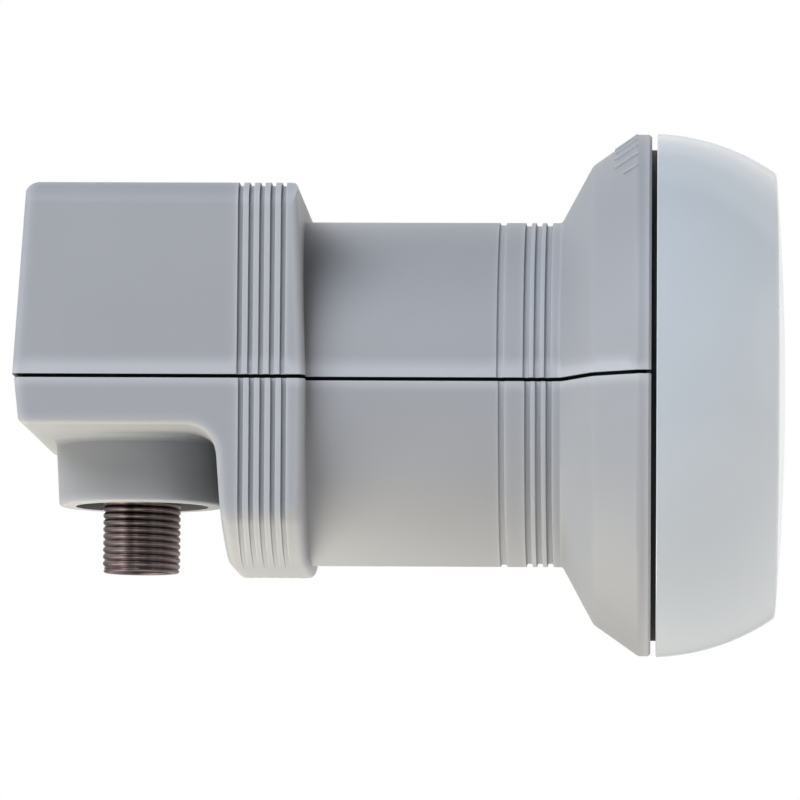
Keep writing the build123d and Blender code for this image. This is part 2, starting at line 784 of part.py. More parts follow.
# Lid over the board, with an arched nose in the neck, screw posts and a web before the front end
nose_radius = neck_radius - wall - casting_gap
lid_web_x = resonator_x + resonator_radius + lid_web_gap
with BuildPart() as shield_cover:
    with BuildSketch(Plane.XY.offset(board_top)):
        with Locations((board_middle, 0)):
            RectangleRounded(board_length, 2 * board_half, board_corner_round)
    extrude(amount=lid_top - board_top)
    with BuildSketch(Plane.YZ.offset(board_front - lid_wall)):
        Circle(nose_radius)
        with Locations((0, board_top)):
            Rectangle(
                board_neck_width, nose_radius, align=(Align.CENTER, Align.MIN), mode=Mode.INTERSECT
            )
    extrude(amount=board_neck_length + lid_wall)
    with BuildSketch(Plane.XY.offset(board_top)):
        with Locations((board_middle, 0)):
            Rectangle(board_length - 2 * lid_wall, 2 * board_half - 2 * lid_wall)
    extrude(amount=lid_ceiling - board_top, mode=Mode.SUBTRACT)
    with BuildSketch(Plane.YZ.offset(board_front - 2 * lid_wall)):
        Circle(nose_radius - lid_wall)
        with Locations((0, board_top)):
            Rectangle(
                board_neck_width, nose_radius, align=(Align.CENTER, Align.MIN), mode=Mode.INTERSECT
            )
    extrude(amount=board_neck_length + lid_wall, mode=Mode.SUBTRACT)
    with BuildSketch(Plane.XY.offset(board_top + lid_web_rise)):
        with Locations((lid_web_x, 0)):
            Rectangle(lid_web_width, 2 * board_half - lid_wall, align=(Align.MIN, Align.CENTER))
    extrude(amount=lid_top - board_top - lid_web_rise)
    with BuildSketch(Plane.XY.offset(board_top)):
        with Locations(*screw_places):
            Circle(screw_post_radius)
    extrude(amount=lid_top - board_top)
    with BuildSketch(Plane.XY.offset(board_top)):
        with Locations(*screw_places):
            Circle(screw_hole_radius)
    extrude(amount=lid_top - board_top, mode=Mode.SUBTRACT)
    with BuildSketch(Plane.XY.offset(lid_top)):
        with Locations(*resonator_places):
            Circle(tuner_radius)
    extrude(amount=-2 * lid_wall, mode=Mode.SUBTRACT)
shield_cover.part.label = "shield_cover"
export_step(shield_cover.part, "parts/shield_cover.step")

# Absorber pad, stuck under the lid over the back of the board
pad_back = board_back + lid_wall + absorber_gap
pad_front = resonator_x - resonator_radius - absorber_gap
pad_half = board_half - screw_inset - screw_post_radius - absorber_gap
with BuildPart() as absorber_pad:
    with BuildSketch(Plane.XY.offset(lid_ceiling - absorber_thickness)):
        with Locations(((pad_back + pad_front) / 2, 0)):
            Rectangle(pad_front - pad_back, 2 * pad_half)
    extrude(amount=absorber_thickness)
absorber_pad.part.label = "absorber_pad"
export_step(absorber_pad.part, "parts/absorber_pad.step")

# Screws that clamp the lid and the board to the casting
with BuildPart() as cover_screws:
    with BuildSketch(Plane.XY.offset(screw_tip)):
        with Locations(*screw_places):
            Circle(screw_radius)
    extrude(amount=lid_top - screw_tip)
    with BuildSketch(Plane.XY.offset(lid_top)):
        with Locations(*screw_places):
            Circle(screw_head_radius)
    extrude(amount=screw_head_height)
cover_screws.part.label = "cover_screws"
export_step(cover_screws.part, "parts/cover_screws.step")

# Oscillator: ceramic pucks and the screws that tune them
with BuildPart() as resonators:
    with BuildSketch(Plane.XY.offset(board_top)):
        with Locations(*resonator_places):
            Circle(resonator_radius)
    extrude(amount=resonator_height)
resonators.part.label = "resonators"
export_step(resonators.part, "parts/resonators.step")

tuner_bottom = board_top + resonator_height + tuner_gap
with BuildPart() as tuning_screws:
    with BuildSketch(Plane.XY.offset(tuner_bottom)):
        with Locations(*resonator_places):
            Circle(tuner_radius)
    extrude(amount=lid_top + tuner_rise - tuner_bottom)
tuning_screws.part.label = "tuning_screws"
export_step(tuning_screws.part, "parts/tuning_screws.step")

# Parts soldered to the board
with BuildPart() as transistors:
    with BuildSketch(Plane.XY.offset(board_top)):
        with Locations(
            (top_probe_x, transistor_offset),
            (side_probe_x, transistor_offset - side_probe_offset),
            (board_front - transistor_setback, 0),
        ):
            Rectangle(transistor_side, transistor_side)
    extrude(amount=transistor_height)
transistors.part.label = "transistors"
export_step(transistors.part, "parts/transistors.step")

with BuildPart() as control_chip:
    with BuildSketch(Plane.XY.offset(board_top)):
        with Locations((socket_x, -chip_offset)):
            Rectangle(chip_length, chip_width)
    extrude(amount=chip_height)
control_chip.part.label = "control_chip"
export_step(control_chip.part, "parts/control_chip.step")

with BuildPart() as voltage_regulator:
    with BuildSketch(Plane.XY.offset(board_top)):
        with Locations((socket_x, regulator_offset)):
            Rectangle(regulator_length, regulator_width)
    extrude(amount=regulator_height)
voltage_regulator.part.label = "voltage_regulator"
export_step(voltage_regulator.part, "parts/voltage_regulator.step")

with BuildPart() as choke_coil:
    with BuildSketch(Plane.XY.offset(board_top)):
        with Locations((socket_x + choke_offset, 0)):
            Circle(choke_radius)
    extrude(amount=choke_height)
choke_coil.part.label = "choke_coil"
export_step(choke_coil.part, "parts/choke_coil.step")

with BuildPart() as chip_capacitors:
    with BuildSketch(Plane.XY.offset(board_top)):
        with Locations((socket_x - capacitor_offset, 0)):
            with GridLocations(capacitor_length, capacitor_pitch, 1, capacitor_count):
                Rectangle(capacitor_length, capacitor_width)
    extrude(amount=capacitor_height)
chip_capacitors.part.label = "chip_capacitors"
export_step(chip_capacitors.part, "parts/chip_capacitors.step")

# Socket: threaded barrel, insulator, spring contact and the seal at its root
with BuildPart() as connector_body:
    with BuildSketch(Plane.XY.offset(-socket_reach)):
        with Locations((socket_x, 0)):
            Circle(socket_radius)
    extrude(amount=socket_reach + socket_top)
    chamfer(connector_body.edges().group_by(Axis.Z)[0], socket_chamfer)
    with BuildSketch(Plane.XY.offset(-socket_root_depth)):
        with Locations((socket_x, 0)):
            Circle(socket_flange_radius)
    extrude(amount=-socket_flange_depth)
    with BuildSketch(Plane.XY.offset(-socket_reach)):
        with Locations((socket_x, 0)):
            Circle(socket_bore_radius)
    extrude(amount=socket_reach + socket_top, mode=Mode.SUBTRACT)
connector_body.part.label = "connector_body"
export_step(connector_body.part, "parts/connector_body.step")

with BuildPart() as connector_insulator:
    with BuildSketch(Plane.XY.offset(-socket_reach + socket_mouth_recess)):
        with Locations((socket_x, 0)):
            Circle(socket_bore_radius)
            Circle(contact_radius, mode=Mode.SUBTRACT)
    extrude(amount=socket_reach - socket_mouth_recess + socket_top)
connector_insulator.part.label = "connector_insulator"
export_step(connector_insulator.part, "parts/connector_insulator.step")

with BuildPart() as connector_contact:
    with BuildSketch(Plane.XY.offset(-socket_reach + contact_recess)):
        with Locations((socket_x, 0)):
            Circle(contact_radius)
    extrude(amount=socket_reach - contact_recess + board_top + probe_tail)
connector_contact.part.label = "connector_contact"
export_step(connector_contact.part, "parts/connector_contact.step")

with BuildPart() as connector_seal:
    with BuildSketch(Plane.XY.offset(-socket_root_depth)):
        with Locations((socket_x, 0)):
            Circle(cup_mouth_radius - cup_wall - socket_seal_gap)
            Circle(socket_flange_radius, mode=Mode.SUBTRACT)
    extrude(amount=-socket_flange_depth)
connector_seal.part.label = "connector_seal"
export_step(connector_seal.part, "parts/connector_seal.step")
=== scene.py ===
# %% [markdown]
# A satellite feed head: a two-part housing of light grey moulded plastic, a glossy cap over its horn,
# and a threaded socket under the box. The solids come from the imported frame, in metres. They could be
# modelled again here, but then they could drift from the real part, so this lesson keeps them and gives
# every one its finish. It makes only two pieces anew: the socket, for its fine thread, and the glossy cap.

# %% Load the frame
import json
from math import cos, radians, sin

import bpy
import numpy as np
from mathutils import Matrix, Vector


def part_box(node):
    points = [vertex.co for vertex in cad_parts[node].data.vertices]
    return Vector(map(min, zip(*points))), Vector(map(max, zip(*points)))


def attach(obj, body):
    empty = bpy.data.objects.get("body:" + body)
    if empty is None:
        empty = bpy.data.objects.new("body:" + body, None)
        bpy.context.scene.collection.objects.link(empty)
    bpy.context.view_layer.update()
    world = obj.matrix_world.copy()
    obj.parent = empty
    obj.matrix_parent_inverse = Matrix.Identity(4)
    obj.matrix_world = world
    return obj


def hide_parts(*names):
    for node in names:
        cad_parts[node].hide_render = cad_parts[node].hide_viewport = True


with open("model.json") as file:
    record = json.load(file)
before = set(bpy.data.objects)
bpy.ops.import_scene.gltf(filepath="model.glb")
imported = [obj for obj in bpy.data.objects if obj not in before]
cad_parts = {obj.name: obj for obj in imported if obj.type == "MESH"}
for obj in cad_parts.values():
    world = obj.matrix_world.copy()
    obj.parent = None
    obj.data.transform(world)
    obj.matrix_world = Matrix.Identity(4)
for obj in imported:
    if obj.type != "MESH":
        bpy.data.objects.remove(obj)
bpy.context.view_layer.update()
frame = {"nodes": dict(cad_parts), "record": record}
MM = 0.001
scene = bpy.context.scene

# %% [markdown]
# The camera stands level with the neck, a little below it, and looks slightly up and to the left, so
# the underside of the box shows. It could be turned by hand until the outlines agree. Here its place
# and its three turns are worked out from the edges that show, and its axes are built from those turns.

# %% Camera
IMAGE_SIDE = 800
FOCAL_PIXELS = 7061.0
SENSOR_WIDTH = 36.0
NEAR_CLIP = 0.01
camera_place = Vector((28.6, -817.9, -73.3)) * MM
camera_yaw, camera_pitch, camera_roll = radians(-2.06), radians(5.074), radians(0.40)
ahead = Vector((sin(camera_yaw) * cos(camera_pitch), cos(camera_yaw) * cos(camera_pitch), sin(camera_pitch)))
level_right = Vector((cos(camera_yaw), -sin(camera_yaw), 0))
level_up = level_right.cross(ahead)
right = cos(camera_roll) * level_right + sin(camera_roll) * level_up
up = -sin(camera_roll) * level_right + cos(camera_roll) * level_up
turn = Matrix((right, up, -ahead)).transposed()
camera = bpy.data.objects.new("camera", bpy.data.cameras.new("camera"))
camera.data.sensor_width = SENSOR_WIDTH
camera.data.lens = FOCAL_PIXELS / IMAGE_SIDE * SENSOR_WIDTH
camera.data.clip_start = NEAR_CLIP
camera.matrix_world = Matrix.Translation(camera_place) @ turn.to_4x4()
scene.collection.objects.link(camera)
scene.camera = camera
scene.view_settings.view_transform = "Standard"
print("lens", round(camera.data.lens, 1), "mm")

# %% [markdown]
# Every finish here is built from a few effects. Each effect is a node group with named sockets, so that
# a material only places it and gives it its own values. Two small helpers make the groups and the links.


# %% Helpers for node trees
def shader_group(name, inputs, outputs):
    """An empty group: inputs are (kind, label, value), outputs are (kind, label)."""
    group = bpy.data.node_groups.new(name, "ShaderNodeTree")
    for kind, label, value in inputs:
        socket = group.interface.new_socket(label, in_out="INPUT", socket_type=kind)
        socket.default_value = value
    for kind, label in outputs:
        group.interface.new_socket(label, in_out="OUTPUT", socket_type=kind)
    return group, group.nodes.new("NodeGroupInput"), group.nodes.new("NodeGroupOutput")


def add_node(tree, kind, values=None, links=None, **settings):
    """One node with its settings, the values of its sockets, and the links into them."""
    node = tree.nodes.new(kind)
    for label, value in settings.items():
        setattr(node, label, value)
    for label, value in (values or {}).items():
        node.inputs[label].default_value = value
    for label, source in (links or {}).items():
        tree.links.new(source, node.inputs[label])
    return node


NOISE_LOW, NOISE_HIGH = 0.3, 0.7


def span(tree, source, low, high):
    """Map a noise value, which mostly stays between NOISE_LOW and NOISE_HIGH, to the span from low to high."""
    node = add_node(tree, "ShaderNodeMapRange", {"From Min": NOISE_LOW, "From Max": NOISE_HIGH}, {"Value": source})
    for label, end in (("To Min", low), ("To Max", high)):
        if isinstance(end, (int, float)):
            node.inputs[label].default_value = end
        else:
            tree.links.new(end, node.inputs[label])
    return node.outputs["Result"]


print("helpers ready")

# %% [markdown]
# Moulded plastic, cast metal and rubber all carry a fine grain from their tool, and their tone drifts a
# little over a hand's breadth. A picture of a real surface could be wrapped round the part, but it would
# show seams. Two noises on the object's own coordinates have none: a fine one gives the height of the
# grain and a change of roughness, and a wide one makes the colour drift.

# %% Grain and drift
FLOAT, COLOUR = "NodeSocketFloat", "NodeSocketColor"
CLOUD_SCALE = 45.0
grain_group, grain_in, grain_out = shader_group(
    "moulded_grain",
    [(COLOUR, "Colour", (0.5, 0.5, 0.5, 1)), (FLOAT, "Scale", 5000.0), (FLOAT, "Drift", 0.03),
     (FLOAT, "Smooth", 0.3), (FLOAT, "Rough", 0.5)],
    [(COLOUR, "Colour"), (FLOAT, "Roughness"), (FLOAT, "Height")],
)
place = add_node(grain_group, "ShaderNodeTexCoord").outputs["Object"]
fine = add_node(
    grain_group, "ShaderNodeTexNoise", {"Detail": 2.0}, {"Vector": place, "Scale": grain_in.outputs["Scale"]}
)
cloud = add_node(grain_group, "ShaderNodeTexNoise", {"Scale": CLOUD_SCALE, "Detail": 3.0}, {"Vector": place})
drift = grain_in.outputs["Drift"]
low_tone = add_node(grain_group, "ShaderNodeMath", {0: 1.0}, {1: drift}, operation="SUBTRACT")
high_tone = add_node(grain_group, "ShaderNodeMath", {0: 1.0}, {1: drift}, operation="ADD")
tone = span(grain_group, cloud.outputs["Fac"], low_tone.outputs[0], high_tone.outputs[0])
toned = add_node(
    grain_group, "ShaderNodeVectorMath", None, {0: grain_in.outputs["Colour"], "Scale": tone}, operation="SCALE"
)
rough = span(grain_group, fine.outputs["Fac"], grain_in.outputs["Smooth"], grain_in.outputs["Rough"])
grain_group.links.new(toned.outputs[0], grain_out.inputs["Colour"])
grain_group.links.new(rough, grain_out.inputs["Roughness"])
grain_group.links.new(fine.outputs["Fac"], grain_out.inputs["Height"])
print("group", grain_group.name, "nodes", len(grain_group.nodes))

# %% [markdown]
# The two halves of the housing stop short of each other, and the slit between them is almost black,
# because light hardly reaches the tongue that closes it. A lamp and a deep slit could do that alone,
# but the slit is only 0.4 mm wide. So the shade is painted: a mask on the height of a point, from the
# object's own coordinates, darkens what lies inside the slit and nothing else.

# %% Shade in the slit
HALF_SLIT = 0.215 * MM
SLIT_SHADE_TONE = 0.10
# Painted shade: everything within the slit's height is darkened to a tenth of its colour.
slit_group, slit_in, slit_out = shader_group(
    "painted_slit_shade",
    [(COLOUR, "Colour", (0.5, 0.5, 0.5, 1)), (FLOAT, "Half Slit", HALF_SLIT)],
    [(COLOUR, "Colour"), (FLOAT, "Mask")],
)
slit_place = add_node(slit_group, "ShaderNodeTexCoord").outputs["Object"]
slit_axes = add_node(slit_group, "ShaderNodeSeparateXYZ", None, {0: slit_place})
depth = add_node(slit_group, "ShaderNodeMath", None, {0: slit_axes.outputs["Z"]}, operation="ABSOLUTE")
inside = add_node(
    slit_group, "ShaderNodeMath", None,
    {0: depth.outputs[0], 1: slit_in.outputs["Half Slit"]}, operation="LESS_THAN",
)
painted_slit_dark = add_node(
    slit_group, "ShaderNodeVectorMath", {"Scale": SLIT_SHADE_TONE}, {0: slit_in.outputs["Colour"]}, operation="SCALE"
)
chosen = add_node(slit_group, "ShaderNodeMix", None, {"Factor": inside.outputs[0]}, data_type="RGBA")
slit_group.links.new(slit_in.outputs["Colour"], chosen.inputs["A"])
slit_group.links.new(painted_slit_dark.outputs[0], chosen.inputs["B"])
slit_group.links.new(chosen.outputs["Result"], slit_out.inputs["Colour"])
slit_group.links.new(inside.outputs[0], slit_out.inputs["Mask"])
print("group", slit_group.name, "nodes", len(slit_group.nodes))

# %% [markdown]
# Outer edges of the moulding get a painted highlight that makes them a little lighter, and its inner
# corners and grooves get painted shade. A mask drawn on the surface could show that, but it would have to
# be drawn again for every shape. The Ambient Occlusion node finds both: rays sent into the plastic soon
# come out again near an outer edge, and rays sent out soon meet a wall in an inner corner.

# %% Painted edge highlights and corner shade
RAY_COUNT = 8
EDGE_PLAIN, EDGE_HIGHLIT = 0.95, 0.55
CORNER_OPEN, CORNER_SHUT = 0.62, 0.28
# Painted highlight on outer edges and painted shade in inner corners, each found by an Ambient Occlusion node.
edge_corner_group, edge_corner_in, edge_corner_out = shader_group(
    "painted_edge_light_corner_shade",
    [(COLOUR, "Colour", (0.5, 0.5, 0.5, 1)), (FLOAT, "Edge", 1.4 * MM), (FLOAT, "Corner", 14.0 * MM),
     (FLOAT, "Light", 1.35), (FLOAT, "Dark", 0.68)],
    [(COLOUR, "Colour"), (FLOAT, "Mask")],
)
edge_rays = add_node(
    edge_corner_group, "ShaderNodeAmbientOcclusion", None, {"Distance": edge_corner_in.outputs["Edge"]},
    inside=True, only_local=True, samples=RAY_COUNT,
)
edge_highlight = add_node(
    edge_corner_group, "ShaderNodeMapRange",
    {"From Min": EDGE_PLAIN, "From Max": EDGE_HIGHLIT}, {"Value": edge_rays.outputs["AO"]},
)
corner_rays = add_node(
    edge_corner_group, "ShaderNodeAmbientOcclusion", None, {"Distance": edge_corner_in.outputs["Corner"]}, samples=RAY_COUNT
)
corner_shade = add_node(
    edge_corner_group, "ShaderNodeMapRange",
    {"From Min": CORNER_OPEN, "From Max": CORNER_SHUT}, {"Value": corner_rays.outputs["AO"]},
)
edge_highlight_tone = add_node(
    edge_corner_group, "ShaderNodeMapRange", {"To Min": 1.0},
    {"Value": edge_highlight.outputs["Result"], "To Max": edge_corner_in.outputs["Light"]},
)
corner_shade_tone = add_node(
    edge_corner_group, "ShaderNodeMapRange", {"To Min": 1.0},
    {"Value": corner_shade.outputs["Result"], "To Max": edge_corner_in.outputs["Dark"]},
)
both_tones = add_node(
    edge_corner_group, "ShaderNodeMath", None,
    {0: edge_highlight_tone.outputs["Result"], 1: corner_shade_tone.outputs["Result"]}, operation="MULTIPLY",
)
highlighted_and_shaded = add_node(
    edge_corner_group, "ShaderNodeVectorMath", None,
    {0: edge_corner_in.outputs["Colour"], "Scale": both_tones.outputs[0]}, operation="SCALE",
)
edge_corner_group.links.new(highlighted_and_shaded.outputs[0], edge_corner_out.inputs["Colour"])
edge_corner_group.links.new(edge_highlight.outputs["Result"], edge_corner_out.inputs["Mask"])
print("group", edge_corner_group.name, "nodes", len(edge_corner_group.nodes))

# %% [markdown]
# Wire, screws and turned metal show fine lines that run round or along the piece. They could be cut
# into the mesh, but they are far finer than a face. A noise that is stretched along one axis gives
# streaks for the roughness and a faint height.

# %% Drawn lines
LINE_STRETCH = (0.06, 0.06, 1.0)
line_group, line_in, line_out = shader_group(
    "drawn_lines",
    [(COLOUR, "Colour", (0.5, 0.5, 0.5, 1)), (FLOAT, "Scale", 6000.0),
     (FLOAT, "Smooth", 0.2), (FLOAT, "Rough", 0.4)],
    [(COLOUR, "Colour"), (FLOAT, "Roughness"), (FLOAT, "Height")],
)
line_place = add_node(line_group, "ShaderNodeTexCoord").outputs["Object"]
stretched = add_node(line_group, "ShaderNodeMapping", {"Scale": LINE_STRETCH}, {"Vector": line_place})
streak = add_node(
    line_group, "ShaderNodeTexNoise", {"Detail": 3.0},
    {"Vector": stretched.outputs["Vector"], "Scale": line_in.outputs["Scale"]},
)
streak_tone = span(line_group, streak.outputs["Fac"], 0.85, 1.12)
streaked = add_node(
    line_group, "ShaderNodeVectorMath", None,
    {0: line_in.outputs["Colour"], "Scale": streak_tone}, operation="SCALE",
)
streak_rough = span(line_group, streak.outputs["Fac"], line_in.outputs["Smooth"], line_in.outputs["Rough"])
line_group.links.new(streaked.outputs[0], line_out.inputs["Colour"])
line_group.links.new(streak_rough, line_out.inputs["Roughness"])
line_group.links.new(streak.outputs["Fac"], line_out.inputs["Height"])
print("group", line_group.name, "nodes", len(line_group.nodes))

# %% [markdown]
# A finish is then one of these effects, a Bump node for its height, and the Principled shader. What is
# the same all over the surface, such as metal or not, is set on the shader's own socket.


# %% One finish
def finish(name, effect, colour, scale, smooth, rough, relief, metallic=0.0, drift=None):
    """A material with a surface effect; scale is in lines or grains per metre, relief is in metres."""
    material = bpy.data.materials.new(name)
    material.use_nodes = True
    tree = material.node_tree
    shader = tree.nodes["Principled BSDF"]
    values = {"Colour": (*colour, 1), "Scale": scale, "Smooth": smooth, "Rough": rough}
    if drift is not None:
        values["Drift"] = drift
    surface = add_node(tree, "ShaderNodeGroup", node_tree=effect)
    for label, value in values.items():
        surface.inputs[label].default_value = value
    height = surface.outputs["Height"]
    bump = add_node(tree, "ShaderNodeBump", {"Strength": 1.0, "Distance": relief}, {"Height": height})
    tree.links.new(surface.outputs["Colour"], shader.inputs["Base Color"])
    tree.links.new(surface.outputs["Roughness"], shader.inputs["Roughness"])
    tree.links.new(bump.outputs["Normal"], shader.inputs["Normal"])
    shader.inputs["Metallic"].default_value = metallic
    return material, surface, bump, shader


print("finish ready")

# %% [markdown]
# The housing is moulded in a light, slightly cool grey with a fine satin grain. Its moulded edges are
# broken by a tenth of a millimetre, which is too fine for the solids. The Bevel node rounds only the
# way light falls on an edge, the edges get their painted highlight and the corners their painted shade,
# and the painted slit shade darkens the parting line.

# %% Housing plastic
EDGE_BREAK = 0.14 * MM
shell_colour = (0.40, 0.425, 0.46)
shell, shell_surface, shell_bump, shell_shader = finish(
    "housing_plastic", grain_group, shell_colour, 7000.0, 0.42, 0.56, 0.004 * MM, drift=0.025
)
shell_tree = shell.node_tree
slit = add_node(shell_tree, "ShaderNodeGroup", node_tree=slit_group)
edge_corner_paint = add_node(shell_tree, "ShaderNodeGroup", node_tree=edge_corner_group)
shell_tree.links.new(shell_surface.outputs["Colour"], edge_corner_paint.inputs["Colour"])
shell_tree.links.new(edge_corner_paint.outputs["Colour"], slit.inputs["Colour"])
shell_tree.links.new(slit.outputs["Colour"], shell_shader.inputs["Base Color"])
broken_edge = add_node(shell_tree, "ShaderNodeBevel", {"Radius": EDGE_BREAK}, samples=6)
shell_tree.links.new(broken_edge.outputs["Normal"], shell_bump.inputs["Normal"])
shell_shader.inputs["Specular IOR Level"].default_value = 0.3
print("material", shell.name)

# %% [markdown]
# The cap is a paler plastic that lets the signal through. It comes from a polished tool, so it is
# glossy, with only a slow waviness that bends the reflections a little.

# %% Cap plastic
cap_colour = (0.595, 0.67, 0.735)
cap, _, _, cap_shader = finish(
    "cap_plastic", grain_group, cap_colour, 150.0, 0.14, 0.20, 0.010 * MM, drift=0.02
)
cap_shader.inputs["Specular IOR Level"].default_value = 0.35
print("material", cap.name)

# %% [markdown]
# The rest is rubber, metal, ceramic and the laminate of the board. Most of it is hidden in the housing,
# but the part is also used opened up, so each gets its own colour, grain and gloss.

# %% Rubber, metal and ceramic
rubber = finish("seal_rubber", grain_group, (0.016, 0.016, 0.018), 9000.0, 0.5, 0.7, 0.006 * MM, drift=0.2)[0]
casting = finish("cast_alloy", grain_group, (0.60, 0.61, 0.62), 2500.0, 0.38, 0.6, 0.02 * MM, 1.0, drift=0.08)[0]
insulator = finish("white_insulator", grain_group, (0.80, 0.80, 0.77), 4000.0, 0.35, 0.5, 0.003 * MM, drift=0.03)[0]
chip_black = finish("chip_black", grain_group, (0.02, 0.02, 0.021), 8000.0, 0.45, 0.65, 0.004 * MM, drift=0.1)[0]
ceramic = finish("sintered_ceramic", grain_group, (0.62, 0.52, 0.40), 6000.0, 0.45, 0.65, 0.005 * MM, drift=0.06)[0]
ferrite = finish("dark_ferrite", grain_group, (0.075, 0.068, 0.066), 5000.0, 0.4, 0.6, 0.006 * MM, drift=0.1)[0]
brass = finish("drawn_brass", line_group, (0.72, 0.55, 0.25), 9000.0, 0.18, 0.36, 0.003 * MM, 1.0)[0]
steel = finish("zinc_steel", line_group, (0.55, 0.55, 0.56), 7000.0, 0.25, 0.42, 0.003 * MM, 1.0)[0]
print("materials", len(bpy.data.materials))

# %% [markdown]
# The board's laminate is green resist over copper tracks. The tracks could be modelled, but nothing is
# joined to them, so a brick pattern with long thin cells stands for them as a faint change of tone.

# %% Board laminate
TRACK_SCALE = 420.0
laminate, laminate_surface, _, _ = finish(
    "green_laminate", grain_group, (0.05, 0.20, 0.09), 3000.0, 0.25, 0.4, 0.003 * MM, drift=0.08
)
laminate_tree = laminate.node_tree
laminate_place = add_node(laminate_tree, "ShaderNodeTexCoord").outputs["Object"]
tracks = add_node(
    laminate_tree, "ShaderNodeTexBrick",
    {"Scale": TRACK_SCALE, "Color1": (0.05, 0.20, 0.09, 1), "Color2": (0.045, 0.17, 0.08, 1),
     "Mortar": (0.10, 0.30, 0.12, 1), "Mortar Size": 0.04},
    {"Vector": laminate_place},
)
laminate_tree.links.new(tracks.outputs["Color"], laminate_surface.inputs["Colour"])
print("material", laminate.name)

# %% [markdown]
# The socket is turned from brass and plated with dull nickel. The roots of its thread are painted darker
# as shade and its crests lighter as a highlight. The distance of a point from the socket's own axis tells
# root from crest, so a Mapping node puts that axis through the origin and the length of what is left is the radius.
# The same coordinates, with no height in them, also draw upright light and dark streaks, a painted reflection of
# the room in the barrel.

# %% Socket nickel
SOCKET_X = -30.75 * MM
CREST_RADIUS = 4.5 * MM
ROOT_RADIUS = 4.30 * MM
REFLECTION_STREAK_SCALE = 330.0
REFLECTION_DARK, REFLECTION_LIGHT = 0.22, 1.9
nickel, nickel_surface, _, _ = finish(
    "dull_nickel", line_group, (0.20, 0.175, 0.16), 5000.0, 0.26, 0.44, 0.004 * MM, 1.0
)
nickel_tree = nickel.node_tree
nickel_place = add_node(nickel_tree, "ShaderNodeTexCoord").outputs["Object"]
centred = add_node(
    nickel_tree, "ShaderNodeMapping", {"Location": (-SOCKET_X, 0, 0), "Scale": (1, 1, 0)}, {"Vector": nickel_place}
)
from_axis = add_node(nickel_tree, "ShaderNodeVectorMath", None, {0: centred.outputs["Vector"]}, operation="LENGTH")
height_in_thread = add_node(
    nickel_tree, "ShaderNodeMapRange",
    {"From Min": ROOT_RADIUS, "From Max": CREST_RADIUS, "To Min": 0.0, "To Max": 1.0},
    {"Value": from_axis.outputs["Value"]},
)
thread_mask = height_in_thread.outputs["Result"]
# Painted shade and highlight: the thread's roots get the darker colour and its crests the lighter one.
thread_shade_and_highlight = add_node(nickel_tree, "ShaderNodeMix", None, {"Factor": thread_mask}, data_type="RGBA")
thread_shade_and_highlight.inputs["A"].default_value = (0.105, 0.083, 0.087, 1)
thread_shade_and_highlight.inputs["B"].default_value = (0.196, 0.160, 0.158, 1)
# Painted reflection: upright streaks from a noise on the flattened coordinates scale the colour up and down.
reflection_streaks = add_node(
    nickel_tree, "ShaderNodeTexNoise", {"Scale": REFLECTION_STREAK_SCALE, "Detail": 2.0}, {"Vector": centred.outputs["Vector"]}
)
reflection_tone = span(nickel_tree, reflection_streaks.outputs["Fac"], REFLECTION_DARK, REFLECTION_LIGHT)
painted_reflection = add_node(
    nickel_tree, "ShaderNodeVectorMath", None,
    {0: thread_shade_and_highlight.outputs["Result"], "Scale": reflection_tone}, operation="SCALE",
)
nickel_tree.links.new(painted_reflection.outputs[0], nickel_surface.inputs["Colour"])
print("material", nickel.name)

# %% [markdown]
# Each solid now gets the finish of its slot in the record. The names of the slots are the record's own,
# so a part that is packed with another slot would take that slot's finish.

# %% Dress the solids
finish_of_slot = {
    "shell_plastic": shell, "cap_plastic": cap, "seal_rubber": rubber, "cast_metal": casting,
    "probe_brass": brass, "insulator_plastic": insulator, "board_laminate": laminate, "screw_steel": steel,
    "puck_ceramic": ceramic, "chip_plastic": chip_black, "coil_ferrite": ferrite, "socket_nickel": nickel,
}
for subpart in frame["record"]["subparts"]:
    mesh = frame["nodes"][subpart["node"]].data
    mesh.materials.clear()
    mesh.materials.append(finish_of_slot[subpart["material_slot"]])

# %% [markdown]
# The socket's barrel carries a fine screw thread, 32 turns to the inch, which the solid leaves plain. A
# thread could be a profile swept along a helix, but its ends are then open. Here the barrel is one grid:
# a turned profile is carried round the axis, and a ridge that climbs one pitch per turn is added to the
# radius, fading out at both ends, so the surface stays closed.


# %% Turned surface
def turned_surface(radius, height, turns):
    """Carry a closed profile round an axis: x = radius cos(angle), y = radius sin(angle), z = height.

    radius has one row per profile point and one column per angle, so it may change round the axis.
    """
    rows, columns = radius.shape
    angle = turns * 2 * np.pi
    points = np.stack(
        [radius * np.cos(angle), radius * np.sin(angle), np.broadcast_to(height[:, None], radius.shape)], axis=-1
    ).reshape(-1, 3)
    row, column = np.meshgrid(np.arange(rows), np.arange(columns), indexing="ij")
    next_row, next_column = (row + 1) % rows, (column + 1) % columns
    corners = [row * columns + column, row * columns + next_column,
               next_row * columns + next_column, next_row * columns + column]
    return points, np.stack(corners, axis=-1).reshape(-1, 4)


def put_in_mesh(name, points, faces, smooth=True):
    """A new object at the origin, from an array of points and a list of faces as rows of point numbers."""
    mesh = bpy.data.meshes.new(name)
    mesh.from_pydata(points.tolist(), [], faces)
    mesh.shade_smooth() if smooth else mesh.shade_flat()
    piece = bpy.data.objects.new(name, mesh)
    scene.collection.objects.link(piece)
    return piece


print("surface functions ready")

